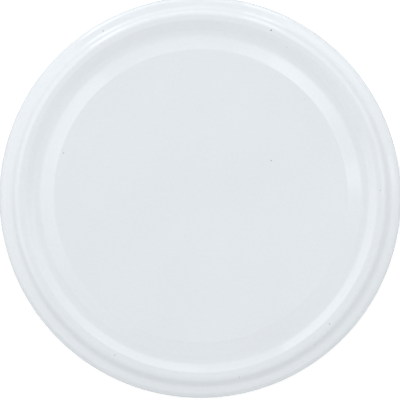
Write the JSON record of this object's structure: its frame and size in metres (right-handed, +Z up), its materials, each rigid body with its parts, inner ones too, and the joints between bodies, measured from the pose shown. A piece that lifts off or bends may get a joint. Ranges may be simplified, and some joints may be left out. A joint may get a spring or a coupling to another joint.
{
  "type": "canning jar lid",
  "caption": "White enamelled pressed metal flat lid of a two-piece canning closure, with a flat panel, sunk groove, raised sealing bead, turned-down rim and flowed-in sealing ring.",
  "frame": {"origin": "centre of the circle that the turned-down rim stands on, at the foot of the lid", "axes": "+Z up the lid's axis, from the sealing side to the flat panel"},
  "size_m": [0.0683, 0.0682, 0.003],
  "materials": {
    "enamelled_tinplate": "gloss",
    "sealing_compound": "satin"
  },
  "bodies": {
    "root": {"lid_disc": "enamelled_tinplate", "sealing_ring": "sealing_compound"}
  },
  "joints": []
}
